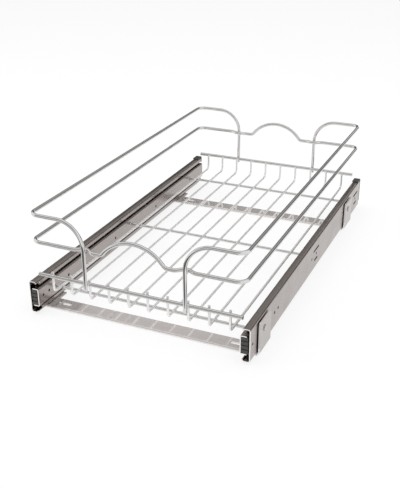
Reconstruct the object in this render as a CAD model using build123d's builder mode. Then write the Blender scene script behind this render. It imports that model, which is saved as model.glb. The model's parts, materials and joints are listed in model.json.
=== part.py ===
"""Pull-out wire basket for a narrow base cabinet, on two full-extension ball-bearing slides.

Frame: +X to the right, +Y towards the back of the cabinet, +Z up. The origin is on the
cabinet floor, in the middle of the basket. All sizes are in millimetres.
"""

import os
from math import cos, radians, tan

from build123d import *

# --- overall sizes ------------------------------------------------------------------------
base_width = 289.0          # over the outer walls of the two slides
slide_length = 500.0
slide_thickness = 12.7
slide_height = 43.0
basket_depth = 499.0        # between the front and rear planes of the handles
basket_width = 272.0        # between the centre lines of the side wires

# --- heights above the cabinet floor ------------------------------------------------------
handle_height = 135.0
ring_height = 100.4
top_rail_height = 55.0
floor_wire_height = 32.0
post_foot_height = 48.5

# --- wires --------------------------------------------------------------------------------
heavy_wire = 4.8            # diameter of the handles, ring and top rails
floor_wire = 3.2
cross_wire = 3.8
weld_gap = 0.05             # between wires that are welded where they cross

# --- handles ------------------------------------------------------------------------------
post_spacing = 129.6        # between the two posts at each end
shoulder_radius = 34.0
handle_corner_radius = 12.0
rail_joint_setback = 15.0   # butt joint of post and rail, from the plane of the posts

# --- gallery ring -------------------------------------------------------------------------
ring_corner_radius = 12.0
hump_height = 21.0
hump_radius = 48.0
hump_flank_angle = 52.0     # slope of the hump's sides, degrees
valley_dip = 1.2
valley_radius = 8.0
post_clearance_length = 3.0  # the ring runs straight this far each side of a post
jog_ramp = 9.0              # length over which it steps back behind the post
jog_radius = 10.0

# --- top rails and floor ------------------------------------------------------------------
top_rail_length = 265.0
floor_wire_count = 10
floor_wire_spacing = 25.8
front_tip_rise = 3.6        # tips of the floor wires above the top rail's centre line
rear_tip_rise = 1.2
front_bend_radius = 5.0
rear_bend_radius = 9.0
front_cross_setback = 28.2  # from the front plane of the handles
rear_cross_setback = 57.4   # from their rear plane

# --- slide members ------------------------------------------------------------------------
channel_gauge = 1.2
channel_flange = 10.1       # width of the cabinet channel's flanges
channel_lip = 6.4
channel_fold_radius = 2.4   # at mid-thickness; the balls run beside these corners
middle_gauge = 1.0
middle_lip = 2.9
drawer_gauge = 1.2
drawer_flange = 8.2
middle_fold_radius = 1.0
drawer_fold_radius = 1.3
outer_ball = 4.0            # diameter
inner_ball = 3.1
ball_clearance = 0.05       # between a ball and each track
lip_clearance = 0.3         # between the lips of the channel and of the middle member
cage_gauge = 0.5
cage_clearance = 0.3
cage_length = 240.0
cage_hole_clearance = 0.1
balls_per_row = 8
ball_edge_margin = 12.0     # from the first ball to the end of its cage
middle_front_setback = 9.0
lip_notch_length = 9.0      # the channel's lips are cut back this far at the front
lip_notch_edge = 3.0        # what the notch leaves of a lip

# --- end pieces ---------------------------------------------------------------------------
stop_pad_length = 10.0      # pad inside the channel, which the middle member stops against
stop_pad_height = 26.6
stop_clearance = 0.3
stop_back = 3.8             # plate behind the channel's rear end
stop_back_top = 7.4         # depth of the plate's full width below the channel's top
stop_hood = 1.8             # hood over the channel's top flange
stop_hood_length = 11.0
stop_corner_radius = 1.4
cap_length = 15.0           # plug in the front end of the drawer member
cap_clearance = 0.05
cap_corner_radius = 0.8
cap_face = 2.0              # length of its wider front part
cap_overhang = 1.6          # front part past the drawer member's flanges
cap_groove = 1.2
cap_groove_depth = 1.0
cap_groove_pitch = 5.4
cap_groove_count = 3

# --- cross plates -------------------------------------------------------------------------
plate_gauge = 1.9
plate_rise = 3.2            # top of the plate above the cabinet floor
plate_depth = 23.0
plate_fold_radius = 1.3
front_plate_setback = 21.4  # from the slide's front end to the plate's front edge
rear_plate_setback = 99.6   # from the slide's rear end to the plate's front edge
slot_spacing = 228.6        # between the two screw slots of one plate
slot_length = 13.4
slot_width = 4.6
hole_spacing = 248.8
hole_diameter = 3.8

# --- upturned ears of the cross plates ------------------------------------------------------
ear_gap = 1.2               # between the ear and the channel's outer wall
ear_height = 41.6
ear_depth = 37.0
ear_setback = 1.6
ear_corner_radius = 3.0
rivet_height = 29.0
rivet_setback = 17.0        # from the plate's front edge
rivet_shank = 4.0
rivet_collar = 8.0
rivet_head = 7.6
rivet_head_rise = 1.5
rivet_head_edge = 0.9       # radius round the rim of the head
rivet_clearance = 0.1

# --- punched features of the channel and of the drawer member --------------------------------
wall_hole_diameter = 4.0
front_hole_setbacks = (7.3, 82.0, 95.0)
middle_hole_offsets = (-14.0, 7.0)
rear_hole_setback = 25.3
wall_slot_rise = 7.4        # slots above and below the channel's middle
wall_slot_width = 3.0
upper_slot_length = 26.0
lower_slot_length = 16.0
middle_slot_offset = 6.0
rear_slot_setback = 25.0
web_hole_diameter = 3.6
front_web_setbacks = (10.0, 22.6, 68.0)
middle_web_offsets = (-58.0, 70.0)
rear_web_setback = 52.0

# --- positions that follow ------------------------------------------------------------------
front_plane = -basket_depth / 2
rear_plane = basket_depth / 2
slide_front = front_plane - heavy_wire / 2
slide_rear = slide_front + slide_length
slide_centre = (slide_front + slide_rear) / 2
wire_step = heavy_wire + weld_gap           # one heavy wire laid against another
side_wire_x = basket_width / 2
post_x = post_spacing / 2

outer_wall_x = base_width / 2
inner_wall_x = outer_wall_x - channel_gauge
web_face_x = outer_wall_x - slide_thickness  # drawer member's face towards the basket
channel_foot = plate_rise
channel_top = channel_foot + slide_height
slide_middle = channel_foot + slide_height / 2

outer_track = outer_ball + 2 * ball_clearance
inner_track = inner_ball + 2 * ball_clearance
middle_half_height = slide_height / 2 - channel_gauge - outer_track
drawer_half_height = middle_half_height - middle_gauge - inner_track
outer_cage_x = inner_wall_x - cage_clearance - cage_gauge / 2
middle_wall_x = outer_cage_x - cage_gauge / 2 - cage_clearance
inner_cage_x = middle_wall_x - middle_gauge - cage_clearance - cage_gauge / 2
middle_lip_x = outer_wall_x - channel_flange + channel_gauge + lip_clearance
drawer_tip_x = web_face_x + drawer_flange
outer_ball_x = (outer_wall_x - channel_flange + channel_gauge + outer_cage_x) / 2
inner_ball_x = (middle_lip_x + middle_gauge + inner_cage_x) / 2
outer_ball_rise = middle_half_height + outer_track / 2
inner_ball_rise = drawer_half_height + inner_track / 2

front_stub_y = front_plane + wire_step + heavy_wire / 2 + floor_wire / 2 + weld_gap
rear_stub_y = rear_plane - wire_step - heavy_wire / 2 - floor_wire / 2 - weld_gap
cross_wire_height = floor_wire_height - floor_wire / 2 - cross_wire / 2 - weld_gap
front_cross_y = front_plane + front_cross_setback
rear_cross_y = rear_plane - rear_cross_setback

front_plate_y = slide_front + front_plate_setback
rear_plate_y = slide_rear - rear_plate_setback
ear_x = outer_wall_x + ear_gap + plate_gauge / 2
stop_front = slide_rear - stop_pad_length
wall_hole_places = [slide_front + setback for setback in front_hole_setbacks]
wall_hole_places += [slide_centre + offset for offset in middle_hole_offsets]
wall_hole_places += [slide_rear - rear_hole_setback]
wall_slot_places = [slide_centre + middle_slot_offset, slide_rear - rear_slot_setback]
web_hole_places = [slide_front + setback for setback in front_web_setbacks]
web_hole_places += [slide_centre + offset for offset in middle_web_offsets]
web_hole_places += [slide_rear - rear_web_setback]

sides = (("left", -1), ("right", 1))


def folded_strip(points, bend, gauge, plane, length):
    """Sheet of the given gauge, folded along points on a plane and run out from it."""
    with BuildPart() as strip:
        with BuildSketch(plane):
            with BuildLine():
                FilletPolyline(*points, radius=bend)
            trace(line_width=gauge)
        extrude(amount=length)
    return strip.part


def channel_points(side, tip_x, wall_x, half_height, lip):
    """Mid-thickness line of a lipped channel, open towards the basket."""
    tip = side * tip_x
    wall = side * wall_x
    high = slide_middle + half_height
    low = slide_middle - half_height
    return [(tip, high - lip), (tip, high), (wall, high), (wall, low), (tip, low), (tip, low + lip)]


def plain_points(side, tip_x, wall_x, half_height):
    """Mid-thickness line of a channel without lips."""
    return channel_points(side, tip_x, wall_x, half_height, 0)[1:5]


def bent_wire(points, radii, diameter, closed=False):
    """Round wire along straight runs joined by tangent arcs."""
    with BuildPart() as wire:
        with BuildLine() as route:
            FilletPolyline(*points, radius=radii, close=closed)
        start = Plane(origin=route.line @ 0, z_dir=route.line % 0)
        with BuildSketch(start):
            Circle(diameter / 2)
        sweep()
    return wire.part


def straight_wire(start, end, diameter):
    """Round wire from one point to another."""
    run = Vector(*end) - Vector(*start)
    with BuildPart() as wire:
        with BuildSketch(Plane(origin=start, z_dir=run)):
            Circle(diameter / 2)
        extrude(amount=run.length)
    return wire.part


def save(part, name):
    part.label = name
    export_step(part, f"parts/{name}.step")


def make_channel(name, side):
    """Cabinet member of a slide: the tall outer channel with its punched wall."""
    half = channel_gauge / 2
    strip = folded_strip(
        channel_points(
            side,
            outer_wall_x - channel_flange + half,
            outer_wall_x - half,
            slide_height / 2 - half,
            channel_lip - half,
        ),
        channel_fold_radius,
        channel_gauge,
        Plane.XZ.offset(-slide_rear),
        slide_length,
    )
    with BuildPart() as channel:
        add(strip)
        wall = Plane.YZ.offset(side * (outer_wall_x - half))
        with BuildSketch(wall):
            for along in wall_hole_places:
                with Locations((along, slide_middle)):
                    Circle(wall_hole_diameter / 2)
            for along in wall_slot_places:
                with Locations((along, slide_middle + wall_slot_rise)):
                    SlotOverall(upper_slot_length, wall_slot_width)
                with Locations((along, slide_middle - wall_slot_rise)):
                    SlotOverall(lower_slot_length, wall_slot_width)
            for plate_y in (front_plate_y, rear_plate_y):
                with Locations((plate_y + rivet_setback, rivet_height)):
                    Circle(rivet_shank / 2 + rivet_clearance)
        extrude(amount=channel_gauge, both=True, mode=Mode.SUBTRACT)
        with BuildSketch(Plane.XZ.offset(-slide_front)):
            with Locations((side * (outer_wall_x - channel_flange + half), slide_middle)):
                Rectangle(2 * channel_gauge, slide_height - 2 * lip_notch_edge)
        extrude(amount=-lip_notch_length, mode=Mode.SUBTRACT)
    save(channel.part, name)


def make_middle_member(name, side):
    """Intermediate member, which runs in the channel and carries the drawer member."""
    half = middle_gauge / 2
    strip = folded_strip(
        channel_points(
            side,
            middle_lip_x + half,
            middle_wall_x - half,
            middle_half_height - half,
            middle_lip - half,
        ),
        middle_fold_radius,
        middle_gauge,
        Plane.XZ.offset(-(stop_front - stop_clearance)),
        slide_length - stop_pad_length - stop_clearance - middle_front_setback,
    )
    with BuildPart() as member:
        add(strip)
    save(member.part, name)


def make_drawer_member(name, side):
    """Innermost member, welded to the basket's cross wires."""
    half = drawer_gauge / 2
    strip = folded_strip(
        plain_points(side, drawer_tip_x, web_face_x + half, drawer_half_height - half),
        drawer_fold_radius,
        drawer_gauge,
        Plane.XZ.offset(-slide_rear),
        slide_length,
    )
    with BuildPart() as member:
        add(strip)
        with BuildSketch(Plane.YZ.offset(side * (web_face_x + half))):
            for along in web_hole_places:
                with Locations((along, slide_middle)):
                    Circle(web_hole_diameter / 2)
        extrude(amount=drawer_gauge, both=True, mode=Mode.SUBTRACT)
    save(member.part, name)


def make_cage(name, side, wall_x, tip_x, ball_x, ball_rise, ball):
    """Ball cage: a thin channel with a row of holes in each flange."""
    strip = folded_strip(
        plain_points(side, tip_x, wall_x, ball_rise),
        cage_gauge,
        cage_gauge,
        Plane.XZ.offset(-(slide_centre + cage_length / 2)),
        cage_length,
    )
    pitch = (cage_length - 2 * ball_edge_margin) / (balls_per_row - 1)
    with BuildPart() as cage:
        add(strip)
        with BuildSketch(Plane.XY.offset(slide_middle)):
            with Locations((side * ball_x, slide_centre)):
                with GridLocations(0, pitch, 1, balls_per_row):
                    Circle(ball / 2 + cage_hole_clearance)
        extrude(amount=slide_height / 2, both=True, mode=Mode.SUBTRACT)
    save(cage.part, name)


def make_balls(name, side, ball_x, ball_rise, ball):
    """The steel balls of one cage, in an upper and a lower row."""
    pitch = (cage_length - 2 * ball_edge_margin) / (balls_per_row - 1)
    with BuildPart() as balls:
        for height in (slide_middle - ball_rise, slide_middle + ball_rise):
            for index in range(balls_per_row):
                along = slide_centre - cage_length / 2 + ball_edge_margin + index * pitch
                with Locations((side * ball_x, along, height)):
                    Sphere(ball / 2)
    save(balls.part, name)


def make_rear_stop(name, side):
    """Black moulding on the channel's rear end, with the pad that stops the middle member."""
    pad_x = drawer_tip_x + stop_clearance
    flange_x = outer_wall_x - channel_flange
    low = slide_middle - stop_pad_height / 2
    high = channel_top + stop_hood
    step = channel_top - stop_back_top
    outline = [
        (side * pad_x, low),
        (side * outer_wall_x, low),
        (side * outer_wall_x, high),
        (side * flange_x, high),
        (side * flange_x, step),
        (side * pad_x, step),
    ]
    with BuildPart() as stop:
        with BuildSketch(Plane.XZ.offset(-slide_rear)):
            with Locations((side * (pad_x + inner_wall_x) / 2, slide_middle)):
                Rectangle(inner_wall_x - pad_x, stop_pad_height)
        extrude(amount=stop_pad_length)
        with BuildSketch(Plane.XZ.offset(-slide_rear)):
            with BuildLine():
                Polyline(*outline, close=True)
            make_face()
        extrude(amount=-stop_back)
        with BuildSketch(Plane.XZ.offset(-slide_rear)):
            with Locations((side * (outer_wall_x - channel_flange / 2), channel_top + stop_hood / 2)):
                Rectangle(channel_flange, stop_hood)
        extrude(amount=stop_hood_length)
        top = stop.faces().sort_by(Axis.Z)[-1]
        fillet(top.edges(), stop_corner_radius)
    save(stop.part, name)


def make_front_cap(name, side):
    """Black ribbed plug in the front end of the drawer member."""
    inner_x = web_face_x + drawer_gauge + cap_clearance
    body_width = drawer_tip_x - inner_x
    face_width = body_width + cap_overhang
    height = 2 * (drawer_half_height - drawer_gauge - cap_clearance)
    face_x = side * (inner_x + face_width / 2)
    with BuildPart() as cap:
        with BuildSketch(Plane.XZ.offset(-slide_front)) as body:
            with Locations((side * (inner_x + body_width / 2), slide_middle)):
                Rectangle(body_width, height)
            fillet(body.vertices(), cap_corner_radius)
        extrude(amount=-cap_length)
        with BuildSketch(Plane.XZ.offset(-slide_front)) as face:
            with Locations((face_x, slide_middle)):
                Rectangle(face_width, height)
            fillet(face.vertices(), cap_corner_radius)
        extrude(amount=-cap_face)
        with BuildSketch(Plane.XZ.offset(-slide_front)):
            with Locations((face_x, slide_middle)):
                with GridLocations(0, cap_groove_pitch, 1, cap_groove_count):
                    Rectangle(face_width, cap_groove)
        extrude(amount=-cap_groove_depth, mode=Mode.SUBTRACT)
    save(cap.part, name)


def make_cross_plate(name, plate_y):
    """Steel strip under both slides, with folded edges, screw slots and an ear at each end."""
    half = plate_gauge / 2
    front = plate_y + half
    rear = plate_y + plate_depth - half
    web = plate_rise - half
    strip = folded_strip(
        [(front, 0), (front, web), (rear, web), (rear, 0)],
        plate_fold_radius,
        plate_gauge,
        Plane.YZ.offset(-outer_wall_x),
        base_width,
    )
    ear_front = plate_y + ear_setback
    ears = []
    for side in (-1, 1):
        ears.append(
            folded_strip(
                [(side * web_face_x, web), (side * ear_x, web), (side * ear_x, ear_height)],
                plate_fold_radius,
                plate_gauge,
                Plane.XZ.offset(-(ear_front + ear_depth)),
                ear_depth,
            )
        )
    clear_x = web_face_x - plate_gauge
    with BuildPart() as plate:
        add(strip)
        with BuildSketch(Plane.XY):
            for side in (-1, 1):
                with Locations((side * (clear_x + outer_wall_x) / 2, plate_y + plate_depth)):
                    Rectangle(outer_wall_x - clear_x, 4 * plate_gauge)
        extrude(amount=plate_rise - plate_gauge, mode=Mode.SUBTRACT)
        for ear in ears:
            add(ear)
        corners = plate.edges().filter_by(Axis.X).group_by(Axis.Z)[-1]
        fillet(corners, ear_corner_radius)
        with BuildSketch(Plane.XY):
            with Locations((0, plate_y + plate_depth / 2)):
                with GridLocations(slot_spacing, 0, 2, 1):
                    SlotOverall(slot_length, slot_width)
                with GridLocations(hole_spacing, 0, 2, 1):
                    Circle(hole_diameter / 2)
        extrude(amount=plate_rise, mode=Mode.SUBTRACT)
        with BuildSketch(Plane.YZ):
            with Locations((plate_y + rivet_setback, rivet_height)):
                Circle(rivet_shank / 2 + rivet_clearance)
        extrude(amount=ear_x + plate_gauge, both=True, mode=Mode.SUBTRACT)
    save(plate.part, name)


def make_rivets(name):
    """Shouldered rivets that hold the slides between the ears of the cross plates."""
    ear_face = ear_x + plate_gauge / 2
    with BuildPart() as rivets:
        for side in (-1, 1):
            for plate_y in (front_plate_y, rear_plate_y):
                place = (side * inner_wall_x, plate_y + rivet_setback, rivet_height)
                with BuildSketch(Plane(origin=place, z_dir=(side, 0, 0))):
                    Circle(rivet_shank / 2)
                extrude(amount=ear_face - inner_wall_x)
                place = (side * outer_wall_x, plate_y + rivet_setback, rivet_height)
                with BuildSketch(Plane(origin=place, z_dir=(side, 0, 0))):
                    Circle(rivet_collar / 2)
                extrude(amount=ear_gap)
                place = (side * ear_face, plate_y + rivet_setback, rivet_height)
                with BuildSketch(Plane(origin=place, z_dir=(side, 0, 0))):
                    Circle(rivet_head / 2)
                extrude(amount=rivet_head_rise)
        rims = rivets.edges().filter_by(GeomType.CIRCLE).filter_by(
            lambda edge: abs(abs(edge.center().X) - ear_face - rivet_head_rise) < weld_gap
        )
        fillet(rims, rivet_head_edge)
    save(rivets.part, name)


def make_handle_post(name, side, end):
    """Post at one end of a handle, with its shoulder and the corner that meets the rail."""
    plane_y = end * rear_plane
    route = [
        (side * post_x, plane_y, post_foot_height),
        (side * post_x, plane_y, handle_height),
        (side * side_wire_x, plane_y, handle_height),
        (side * side_wire_x, plane_y - end * rail_joint_setback, handle_height),
    ]
    save(bent_wire(route, [shoulder_radius, handle_corner_radius], heavy_wire), name)


def make_handle_rail(name, side):
    """Straight side rail, butt joined to the posts' ends as one continuous wire."""
    reach = rear_plane - rail_joint_setback
    start = (side * side_wire_x, -reach, handle_height)
    end = (side * side_wire_x, reach, handle_height)
    save(straight_wire(start, end, heavy_wire), name)


def ring_end(plane_y, inward):
    """Half of one end of the ring, from the corner to just before the hump's peak."""
    behind = plane_y + inward * wire_step
    valley = ring_height - valley_dip
    hump_corner = hump_height - hump_radius + hump_radius / cos(radians(hump_flank_angle))
    valley_x = (hump_corner + valley_dip) / tan(radians(hump_flank_angle))
    points = [
        (side_wire_x, plane_y, ring_height),
        (post_x + post_clearance_length + jog_ramp, plane_y, ring_height),
        (post_x + post_clearance_length, behind, ring_height),
        (post_x - post_clearance_length, behind, ring_height),
        (post_x - post_clearance_length - jog_ramp, plane_y, valley),
        (valley_x, plane_y, valley),
        (0, plane_y, ring_height + hump_corner),
    ]
    radii = [ring_corner_radius] + [jog_radius] * 4 + [valley_radius, hump_radius]
    return points, radii


def make_ring(name):
    """Closed gallery wire below the handles, with a hump at each end and a step at each post."""
    route = []
    bends = []
    for plane_y, inward in ((front_plane, 1), (rear_plane, -1)):
        points, radii = ring_end(plane_y, inward)
        mirrored = [(-x, y, z) for x, y, z in points[-2::-1]]
        end_points = points + mirrored
        end_radii = radii + radii[-2::-1]
        if inward < 0:
            end_points.reverse()
            end_radii.reverse()
        route += end_points
        bends += end_radii
    save(bent_wire(route, bends, heavy_wire, closed=True), name)


def make_top_rail(name, along):
    """Heavy straight wire inside the posts, which carries the ends of the floor wires."""
    reach = top_rail_length / 2
    start = (-reach, along, top_rail_height)
    end = (reach, along, top_rail_height)
    save(straight_wire(start, end, heavy_wire), name)


def make_floor_wires(name):
    """Floor wires, each bent up at both ends against the top rails."""
    wires = []
    for index in range(floor_wire_count):
        across = (index - (floor_wire_count - 1) / 2) * floor_wire_spacing
        route = [
            (across, front_stub_y, top_rail_height + front_tip_rise),
            (across, front_stub_y, floor_wire_height),
            (across, rear_stub_y, floor_wire_height),
            (across, rear_stub_y, top_rail_height + rear_tip_rise),
        ]
        wires.append(bent_wire(route, [front_bend_radius, rear_bend_radius], floor_wire))
    with BuildPart() as floor:
        for wire in wires:
            add(wire)
    save(floor.part, name)


def make_cross_wire(name, along):
    """Wire under the floor, from one drawer member's web to the other's."""
    start = (-web_face_x, along, cross_wire_height)
    end = (web_face_x, along, cross_wire_height)
    save(straight_wire(start, end, cross_wire), name)


os.makedirs("parts", exist_ok=True)

for side_name, side_sign in sides:
    make_channel(f"{side_name}_channel", side_sign)
    make_middle_member(f"{side_name}_middle_member", side_sign)
    make_drawer_member(f"{side_name}_drawer_member", side_sign)
    outer_tip = outer_wall_x - channel_flange + channel_gauge + 2 * cage_clearance
    make_cage(
        f"{side_name}_outer_cage", side_sign, outer_cage_x, outer_tip,
        outer_ball_x, outer_ball_rise, outer_ball,
    )
    make_balls(f"{side_name}_outer_balls", side_sign, outer_ball_x, outer_ball_rise, outer_ball)
    inner_tip = middle_lip_x + middle_gauge + cage_clearance
    make_cage(
        f"{side_name}_inner_cage", side_sign, inner_cage_x, inner_tip,
        inner_ball_x, inner_ball_rise, inner_ball,
    )
    make_balls(f"{side_name}_inner_balls", side_sign, inner_ball_x, inner_ball_rise, inner_ball)
    make_rear_stop(f"{side_name}_rear_stop", side_sign)
    make_front_cap(f"{side_name}_front_cap", side_sign)
    make_handle_post(f"{side_name}_front_post", side_sign, -1)
    make_handle_post(f"{side_name}_rear_post", side_sign, 1)
    make_handle_rail(f"{side_name}_handle_rail", side_sign)

make_cross_plate("front_cross_plate", front_plate_y)
make_cross_plate("rear_cross_plate", rear_plate_y)
make_rivets("ear_rivets")
make_ring("gallery_ring")
make_top_rail("front_top_rail", front_plane + wire_step)
make_top_rail("rear_top_rail", rear_plane - wire_step)
make_floor_wires("floor_wires")
make_cross_wire("front_cross_wire", front_cross_y)
make_cross_wire("middle_cross_wire", (front_cross_y + rear_cross_y) / 2)
make_cross_wire("rear_cross_wire", rear_cross_y)
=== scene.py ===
"""Looks of the pull-out cabinet basket: metal and plastic finishes, weld beads, studio and camera."""
import json
import math

import bmesh
import bpy
from mathutils import Matrix, Vector, noise


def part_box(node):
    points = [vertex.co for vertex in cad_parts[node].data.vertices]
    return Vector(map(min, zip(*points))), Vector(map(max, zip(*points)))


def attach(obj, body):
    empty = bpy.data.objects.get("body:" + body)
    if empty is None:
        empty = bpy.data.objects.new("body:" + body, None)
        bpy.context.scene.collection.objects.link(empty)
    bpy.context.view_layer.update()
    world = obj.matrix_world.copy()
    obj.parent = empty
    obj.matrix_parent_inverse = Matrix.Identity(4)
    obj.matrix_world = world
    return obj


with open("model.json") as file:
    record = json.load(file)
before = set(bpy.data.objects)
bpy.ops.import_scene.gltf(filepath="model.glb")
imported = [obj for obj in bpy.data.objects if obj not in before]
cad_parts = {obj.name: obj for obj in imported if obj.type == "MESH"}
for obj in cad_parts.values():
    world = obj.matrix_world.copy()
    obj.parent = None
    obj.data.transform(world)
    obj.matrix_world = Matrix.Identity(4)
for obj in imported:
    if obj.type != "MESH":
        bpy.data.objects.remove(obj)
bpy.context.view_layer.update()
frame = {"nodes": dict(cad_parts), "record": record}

# --- camera, matched to the photograph (degrees, metres, millimetres for the lens) ---------
VIEW_AZIMUTH = 23.82         # from the front towards the right
VIEW_ELEVATION = 25.32
VIEW_ROLL = -0.19
VIEW_DISTANCE = 0.8860
AIM_RIGHT = 0.0762           # aim point from the middle of the front handles, in the image
AIM_UP = -0.0124
LENS = 58.79
SENSOR = 36.0

# --- finishes -------------------------------------------------------------------------------
CHROME = (0.71, 0.705, 0.70)
# painted light: a paler copy of the wire chrome for the floor wires
FLOOR_CHROME_LIT = (0.93, 0.925, 0.92)
SLIDE_STEEL = (0.41, 0.37, 0.355)
PLATE_STEEL = (0.78, 0.74, 0.72)
EAR_SHADE_STEEL = (0.42, 0.385, 0.37)  # painted shade: darker tone on the plates' faces square to X, the ears, than on their flat strips
FRONT_BACK_HIGHLIGHT_STEEL = (0.90, 0.88, 0.87)   # painted highlight: bright tone on every face that faces the front or the back, sheared edges and folds alike
RIVET_STEEL = (0.52, 0.50, 0.49)
CAGE_STEEL = (0.52, 0.51, 0.50)
BALL_STEEL = (0.74, 0.74, 0.74)
BLACK_PLASTIC = (0.055, 0.053, 0.050)

SQUARE_LIMIT = 0.9               # normal's share along an axis, for a face square to it
NOISE_MIDDLE = (0.3, 0.7)        # range in which most of a noise texture's values lie
CLOUD_SCALE = 28.0               # broad clouds that vary a metal's roughness
RELIEF_DEPTH = 0.0002
PLASTIC_GRAIN = 1400.0
PLASTIC_DARK = 0.7
PLASTIC_BUMP = 0.25

EVEN = (1.0, 1.0, 1.0)           # how a noise is drawn out
ALONG_SLIDE = (1.0, 0.02, 1.0)
ALONG_PLATE = (0.02, 1.0, 1.0)

# --- weld beads: sizes in metres, shapes as factors of BEAD ---------------------------------
CROSS_WIRES = ("front_cross_wire", "middle_cross_wire", "rear_cross_wire")
FLOOR_WIRE_COUNT = 10
WIRE_RADIUS = 0.0016             # of the floor wires
RING_HEIGHT = 0.1004             # centre line of the gallery ring
BEAD = 0.00115
CROSSING_SHAPE = (0.8, 1.0, 0.55)
RAIL_SHAPE = (0.8, 0.6, 1.3)
POST_SHAPE = (1.2, 0.9, 1.6)
WEB_SHAPE = (0.7, 1.2, 1.2)
WIRE_BEAD_SPREAD = 0.75          # bead's centre from the wire's, as a share of its radius
POST_BEAD_SPREAD = 0.72
RAIL_BEAD_DROP = 0.0004          # below the top rail's centre line
WEB_BEAD_INSET = 0.0006          # from the cross wire's end
WEB_BEAD_SPREAD = 0.0014         # in front of and behind the cross wire's centre line
WEB_BEAD_LIFT = 0.0009
SWELL = 0.22                     # unevenness of a bead
SWELL_SCALE = 1.6
SWELL_STEP = (1.7, 0.9, 2.3)     # shifts the noise from one bead to the next

# --- studio -----------------------------------------------------------------------------------
FLOOR_SIZE = 14.0
FLOOR_COLOUR = (0.95, 0.95, 0.95)
FLOOR_GLOW = 1.0             # what the camera and mirroring surfaces see of the floor
FLOOR_GLOW_SHARE = 0.80
WORLD_FILL = 0.72
SEEN = ("Is Camera Ray", "Is Glossy Ray", "Is Transmission Ray")
TARGET = (0.0, 0.0, 0.05)
SOFTBOXES = (                # name, place, width, height, watts
    ("overhead_softbox", (0.0, 0.1, 1.7), 2.4, 2.4, 16.0),
    ("left_softbox", (-1.7, -0.7, 1.0), 1.0, 1.2, 6.0),
    ("right_softbox", (1.8, -0.2, 0.9), 0.9, 1.2, 4.0),
)
TABLE_FLAG_PLACE = (-0.10, -0.46, 0.003)
ABOVE_TABLE_FLAG = (-0.10, -0.46, 1.0)
FLAGS = (                    # name, place, target, width, height, tone
    ("back_left_flag", (-1.6, 2.4, 0.60), TARGET, 3.8, 1.5, (0.110, 0.104, 0.098)),
    ("back_right_flag", (1.9, 2.2, 0.60), TARGET, 2.8, 1.5, (0.150, 0.144, 0.138)),
    ("high_back_flag", (0.0, 2.5, 2.05), TARGET, 5.6, 1.9, (0.420, 0.408, 0.396)),
    ("front_flag", (-0.5, -2.1, 1.5), TARGET, 4.6, 3.0, (0.440, 0.430, 0.420)),
    ("front_table_flag", TABLE_FLAG_PLACE, ABOVE_TABLE_FLAG, 0.50, 0.24, (0.160, 0.155, 0.150)),
)


def new_material(name):
    """An empty node material with its output."""
    material = bpy.data.materials.new(name)
    material.use_nodes = True
    tree = material.node_tree
    tree.nodes.clear()
    output = tree.nodes.new("ShaderNodeOutputMaterial")
    return material, tree, output


def add_node(tree, kind, **values):
    """A node with values set on its input sockets, by name."""
    node = tree.nodes.new(kind)
    for key, value in values.items():
        node.inputs[key.replace("_", " ")].default_value = value
    return node


def stretched_noise(tree, stretch, scale, detail=3.0):
    """Noise in object space, drawn out along an axis by the stretch factors."""
    place = tree.nodes.new("ShaderNodeTexCoord")
    mapping = tree.nodes.new("ShaderNodeMapping")
    mapping.inputs["Scale"].default_value = stretch
    texture = add_node(tree, "ShaderNodeTexNoise", Scale=scale, Detail=detail)
    tree.links.new(place.outputs["Object"], mapping.inputs["Vector"])
    tree.links.new(mapping.outputs["Vector"], texture.inputs["Vector"])
    return texture.outputs["Fac"]


def spread(tree, source, low, high):
    """Maps the middle of a noise to the range low..high."""
    node = tree.nodes.new("ShaderNodeMapRange")
    node.inputs["From Min"].default_value, node.inputs["From Max"].default_value = NOISE_MIDDLE
    node.inputs["To Min"].default_value = low
    node.inputs["To Max"].default_value = high
    tree.links.new(source, node.inputs["Value"])
    return node.outputs["Result"]


def tinted(tree, source, colour, dark):
    """Colour between colour * dark and colour, chosen by a noise."""
    mix = tree.nodes.new("ShaderNodeMix")
    mix.data_type = "RGBA"
    mix.inputs["A"].default_value = (*(channel * dark for channel in colour), 1.0)
    mix.inputs["B"].default_value = (*colour, 1.0)
    tree.links.new(spread(tree, source, 0.0, 1.0), mix.inputs["Factor"])
    return mix.outputs["Result"]


def facing(tree, colour, axis, tone):
    """The given colour, with another tone painted on the faces square to an axis of the piece, as
    painted highlight or shade.
    """
    place = tree.nodes.new("ShaderNodeTexCoord")
    split = tree.nodes.new("ShaderNodeSeparateXYZ")
    size = tree.nodes.new("ShaderNodeMath")
    size.operation = "ABSOLUTE"
    square = tree.nodes.new("ShaderNodeMath")
    square.operation = "GREATER_THAN"
    square.inputs[1].default_value = SQUARE_LIMIT
    mix = tree.nodes.new("ShaderNodeMix")
    mix.data_type = "RGBA"
    mix.inputs["B"].default_value = (*tone, 1.0)
    tree.links.new(place.outputs["Normal"], split.inputs[0])
    tree.links.new(split.outputs[axis], size.inputs[0])
    tree.links.new(size.outputs[0], square.inputs[0])
    tree.links.new(square.outputs[0], mix.inputs["Factor"])
    tree.links.new(colour, mix.inputs["A"])
    return mix.outputs["Result"]


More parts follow.
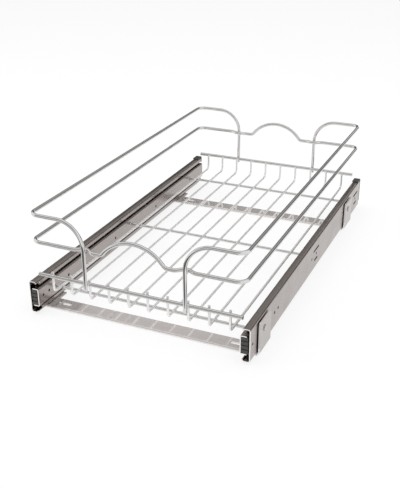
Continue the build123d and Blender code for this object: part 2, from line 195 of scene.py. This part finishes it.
def metal(name, colour, rough, stretch, scale, dark, bump, share=1.0, faces=()):
    """Metal whose tone, roughness and height vary with noise.

    The rough pair is its range of roughness. The faces are pairs of an axis and the tone painted
    as highlight or shade on the faces square to it.
    """
    material, tree, output = new_material(name)
    shader = add_node(tree, "ShaderNodeBsdfPrincipled", Metallic=share)
    grain = stretched_noise(tree, stretch, scale)
    cloud = stretched_noise(tree, EVEN, CLOUD_SCALE, detail=2.0)
    tone = tinted(tree, grain, colour, dark)
    for axis, other in faces:
        tone = facing(tree, tone, axis, other)
    tree.links.new(tone, shader.inputs["Base Color"])
    tree.links.new(spread(tree, cloud, *rough), shader.inputs["Roughness"])
    relief = add_node(tree, "ShaderNodeBump", Strength=bump, Distance=RELIEF_DEPTH)
    tree.links.new(grain, relief.inputs["Height"])
    tree.links.new(relief.outputs["Normal"], shader.inputs["Normal"])
    tree.links.new(shader.outputs["BSDF"], output.inputs["Surface"])
    return material


def plastic(name, colour, roughness):
    """Moulded plastic with a fine spark-eroded grain."""
    material, tree, output = new_material(name)
    shader = add_node(tree, "ShaderNodeBsdfPrincipled", Roughness=roughness)
    grain = stretched_noise(tree, EVEN, PLASTIC_GRAIN, detail=2.0)
    tree.links.new(tinted(tree, grain, colour, PLASTIC_DARK), shader.inputs["Base Color"])
    relief = add_node(tree, "ShaderNodeBump", Strength=PLASTIC_BUMP, Distance=RELIEF_DEPTH)
    tree.links.new(grain, relief.inputs["Height"])
    tree.links.new(relief.outputs["Normal"], shader.inputs["Normal"])
    tree.links.new(shader.outputs["BSDF"], output.inputs["Surface"])
    return material


finishes = {
    "chrome_wire": metal(
        "chrome_wire_finish", CHROME,
        rough=(0.04, 0.09), stretch=EVEN, scale=300.0, dark=0.93, bump=0.03,
    ),
    "slide_steel": metal(
        "slide_steel_finish", SLIDE_STEEL,
        rough=(0.20, 0.30), stretch=ALONG_SLIDE, scale=900.0, dark=0.88, bump=0.12,
        # painted highlight on the faces toward the front and the back
        faces=(("Y", FRONT_BACK_HIGHLIGHT_STEEL),),
    ),
    "plate_steel": metal(
        "plate_steel_finish", PLATE_STEEL,
        rough=(0.03, 0.06), stretch=ALONG_PLATE, scale=900.0, dark=0.90, bump=0.02, share=0.5,
        # painted shade on the faces square to X, painted highlight on the faces toward the front and
        # the back
        faces=(("X", EAR_SHADE_STEEL), ("Y", FRONT_BACK_HIGHLIGHT_STEEL)),
    ),
    "rivet_steel": metal(
        "rivet_steel_finish", RIVET_STEEL,
        rough=(0.18, 0.30), stretch=EVEN, scale=800.0, dark=0.88, bump=0.10,
    ),
    "cage_steel": metal(
        "cage_steel_finish", CAGE_STEEL,
        rough=(0.20, 0.32), stretch=ALONG_SLIDE, scale=900.0, dark=0.85, bump=0.08,
    ),
    "ball_steel": metal(
        "ball_steel_finish", BALL_STEEL,
        rough=(0.04, 0.08), stretch=EVEN, scale=500.0, dark=0.95, bump=0.01,
    ),
    "dark_plastic": plastic("dark_plastic_finish", BLACK_PLASTIC, roughness=0.42),
}
node_finishes = {
    # painted light: the floor wires get a paler, partly matt copy of the same chrome
    "floor_wires": metal(
        "floor_wire_lit_finish", FLOOR_CHROME_LIT,
        rough=(0.30, 0.42), stretch=EVEN, scale=300.0, dark=0.93, bump=0.03, share=0.7,
    ),
}
node_slots = {row["node"]: row["material_slot"] for row in frame["record"]["subparts"]}
for node, piece in frame["nodes"].items():
    piece.data.materials.clear()
    piece.data.materials.append(node_finishes.get(node, finishes[node_slots[node]]))


# --- weld beads -----------------------------------------------------------------------------------
def middle(node):
    """Centre of a node's box."""
    low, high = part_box(node)
    return (low + high) / 2


def half_height(node):
    """Half of a node's height: a straight wire's radius."""
    low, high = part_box(node)
    return (high.z - low.z) / 2


def bead(mesh, centre, shape, seed):
    """Adds one weld bead to a mesh: a small lump, uneven in shape."""
    size = [BEAD * factor for factor in shape]
    made = bmesh.ops.create_icosphere(mesh, subdivisions=3, radius=1.0)
    offset = Vector([seed * step for step in SWELL_STEP])
    for vertex in made["verts"]:
        swell = 1.0 + SWELL * noise.noise(vertex.co * SWELL_SCALE + offset)
        vertex.co = centre + Vector(c * s for c, s in zip(vertex.co, size)) * swell


def beads(name, centres, shape):
    """One object that holds a bead at each centre."""
    mesh = bmesh.new()
    for seed, centre in enumerate(centres):
        bead(mesh, centre, shape, seed)
    data = bpy.data.meshes.new(name)
    mesh.to_mesh(data)
    mesh.free()
    for face in data.polygons:
        face.use_smooth = True
    data.materials.append(finishes["chrome_wire"])
    piece = bpy.data.objects.new(name, data)
    bpy.context.scene.collection.objects.link(piece)
    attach(piece, "basket")


# The floor wires rest on the cross wires, and their upturned ends on the top rails.
floor_low, floor_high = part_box("floor_wires")
first_wire_x = floor_low.x + WIRE_RADIUS
wire_pitch = (floor_high.x - floor_low.x - 2 * WIRE_RADIUS) / (FLOOR_WIRE_COUNT - 1)
wire_places = [first_wire_x + index * wire_pitch for index in range(FLOOR_WIRE_COUNT)]

crossing_places = []
for node in CROSS_WIRES:
    cross = middle(node)
    contact_z = cross.z + half_height(node)
    for x in wire_places:
        for side in (-1, 1):
            beside_x = x + side * WIRE_RADIUS * WIRE_BEAD_SPREAD
            crossing_places.append(Vector((beside_x, cross.y, contact_z)))
beads("floor_weld_beads", crossing_places, CROSSING_SHAPE)

rail_places = []
for node, inward in (("front_top_rail", 1), ("rear_top_rail", -1)):
    rail = middle(node)
    contact_y = rail.y + inward * half_height(node)
    for x in wire_places:
        for side in (-1, 1):
            beside_x = x + side * WIRE_RADIUS * WIRE_BEAD_SPREAD
            rail_places.append(Vector((beside_x, contact_y, rail.z - RAIL_BEAD_DROP)))
beads("rail_weld_beads", rail_places, RAIL_SHAPE)

# The posts' feet are welded to the top rails, and the ring passes behind the posts.
post_places = []
for end in ("front", "rear"):
    rail = middle(f"{end}_top_rail")
    heavy = half_height(f"{end}_top_rail")
    for side in ("left", "right"):
        low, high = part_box(f"{side}_{end}_post")
        inner = min((low.x, high.x), key=abs)
        post_x = inner + math.copysign(heavy, inner)
        plane_y = low.y + heavy if end == "front" else high.y - heavy
        contact_y = (plane_y + rail.y) / 2
        for height in (rail.z, RING_HEIGHT):
            for edge in (-1, 1):
                beside_x = post_x + edge * heavy * POST_BEAD_SPREAD
                post_places.append(Vector((beside_x, contact_y, height)))
beads("post_weld_beads", post_places, POST_SHAPE)

# The cross wires end on the drawer members' webs.
web_places = []
for node in CROSS_WIRES:
    low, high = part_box(node)
    cross = middle(node)
    for x, inward in ((low.x, 1), (high.x, -1)):
        for edge in (-1, 1):
            beside_y = cross.y + edge * WEB_BEAD_SPREAD
            web_places.append(Vector((x + inward * WEB_BEAD_INSET, beside_y, cross.z + WEB_BEAD_LIFT)))
beads("web_weld_beads", web_places, WEB_SHAPE)


# --- studio -----------------------------------------------------------------------------------
def path_share(tree, names):
    """1 for a ray of any of the named kinds, else 0."""
    light_path = tree.nodes.new("ShaderNodeLightPath")
    total = None
    for name in names:
        source = light_path.outputs[name]
        if total is None:
            total = source
            continue
        both = tree.nodes.new("ShaderNodeMath")
        both.operation = "MAXIMUM"
        tree.links.new(total, both.inputs[0])
        tree.links.new(source, both.inputs[1])
        total = both.outputs[0]
    return total


def floor_material():
    """White table: it takes the object's shadow, and glows for the camera and in reflections."""
    material, tree, output = new_material("studio_floor")
    matt = add_node(tree, "ShaderNodeBsdfDiffuse", Color=(*FLOOR_COLOUR, 1.0))
    glow = add_node(tree, "ShaderNodeEmission", Color=(1.0, 1.0, 1.0, 1.0), Strength=FLOOR_GLOW)
    share = tree.nodes.new("ShaderNodeMath")
    share.operation = "MULTIPLY"
    share.inputs[1].default_value = FLOOR_GLOW_SHARE
    mix = tree.nodes.new("ShaderNodeMixShader")
    seen = path_share(tree, SEEN)
    tree.links.new(seen, share.inputs[0])
    tree.links.new(share.outputs[0], mix.inputs[0])
    tree.links.new(matt.outputs[0], mix.inputs[1])
    tree.links.new(glow.outputs[0], mix.inputs[2])
    tree.links.new(mix.outputs[0], output.inputs["Surface"])
    return material


def plane(name, width, depth, material):
    """Flat rectangle facing +Z, centred on the origin."""
    mesh = bmesh.new()
    corners = ((-1, -1), (1, -1), (1, 1), (-1, 1))
    mesh.faces.new([mesh.verts.new((x * width / 2, y * depth / 2, 0)) for x, y in corners])
    data = bpy.data.meshes.new(name)
    mesh.to_mesh(data)
    mesh.free()
    data.materials.append(material)
    piece = bpy.data.objects.new(name, data)
    bpy.context.scene.collection.objects.link(piece)
    return piece


plane("studio_floor", FLOOR_SIZE, FLOOR_SIZE, floor_material())

world = bpy.data.worlds.new("studio_world")
bpy.context.scene.world = world
world.use_nodes = True
sky = world.node_tree
sky.nodes.clear()
sky_output = sky.nodes.new("ShaderNodeOutputWorld")
even = add_node(sky, "ShaderNodeBackground", Color=(1.0, 1.0, 1.0, 1.0), Strength=WORLD_FILL)
backdrop = add_node(sky, "ShaderNodeBackground", Color=(1.0, 1.0, 1.0, 1.0), Strength=1.0)
in_view = sky.nodes.new("ShaderNodeMixShader")
seen_by = path_share(sky, SEEN)
sky.links.new(seen_by, in_view.inputs[0])
sky.links.new(even.outputs[0], in_view.inputs[1])
sky.links.new(backdrop.outputs[0], in_view.inputs[2])
sky.links.new(in_view.outputs[0], sky_output.inputs["Surface"])


def flag(name, place, target, width, height, tone):
    """Grey card that shows in reflections only, as a dark band."""
    material, tree, output = new_material(name)
    glow = add_node(tree, "ShaderNodeEmission", Color=(*tone, 1.0), Strength=1.0)
    tree.links.new(glow.outputs[0], output.inputs["Surface"])
    card = plane(name, width, height, material)
    card.location = place
    card.rotation_euler = (Vector(target) - Vector(place)).to_track_quat("Z", "Y").to_euler()
    card.visible_camera = False
    card.visible_diffuse = False
    card.visible_transmission = False
    card.visible_shadow = False


def softbox(name, place, target, width, height, power):
    """Area lamp at a place, turned to a target."""
    data = bpy.data.lights.new(name, "AREA")
    data.shape = "RECTANGLE"
    data.size = width
    data.size_y = height
    data.energy = power
    lamp = bpy.data.objects.new(name, data)
    bpy.context.scene.collection.objects.link(lamp)
    lamp.location = place
    lamp.rotation_euler = (Vector(target) - Vector(place)).to_track_quat("-Z", "Y").to_euler()
    lamp.visible_glossy = False


for name, place, width, height, power in SOFTBOXES:
    softbox(name, place, TARGET, width, height, power)
for name, place, target, width, height, tone in FLAGS:
    flag(name, place, target, width, height, tone)


# --- camera -------------------------------------------------------------------------------------
def photo_camera():
    """Camera at the photograph's place and angle."""
    azimuth = math.radians(VIEW_AZIMUTH)
    elevation = math.radians(VIEW_ELEVATION)
    roll = math.radians(VIEW_ROLL)
    level = math.cos(elevation)
    back = Vector((math.sin(azimuth) * level, -math.cos(azimuth) * level, math.sin(elevation)))
    flat_right = Vector((math.cos(azimuth), math.sin(azimuth), 0.0))
    flat_up = back.cross(flat_right)
    right = flat_right * math.cos(roll) + flat_up * math.sin(roll)
    up = flat_up * math.cos(roll) - flat_right * math.sin(roll)
    rail = middle("left_handle_rail")
    aim = Vector((0.0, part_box("left_front_post")[0].y + half_height("left_handle_rail"), rail.z))
    aim += right * AIM_RIGHT + up * AIM_UP
    data = bpy.data.cameras.new("photo_camera")
    data.sensor_fit = "VERTICAL"
    data.sensor_height = SENSOR
    data.lens = LENS
    camera = bpy.data.objects.new("photo_camera", data)
    bpy.context.scene.collection.objects.link(camera)
    turn = Matrix((right, up, back)).transposed().to_4x4()
    camera.matrix_world = Matrix.Translation(aim + back * VIEW_DISTANCE) @ turn
    return camera


bpy.context.scene.camera = photo_camera()
bpy.context.scene.view_settings.view_transform = "Standard"
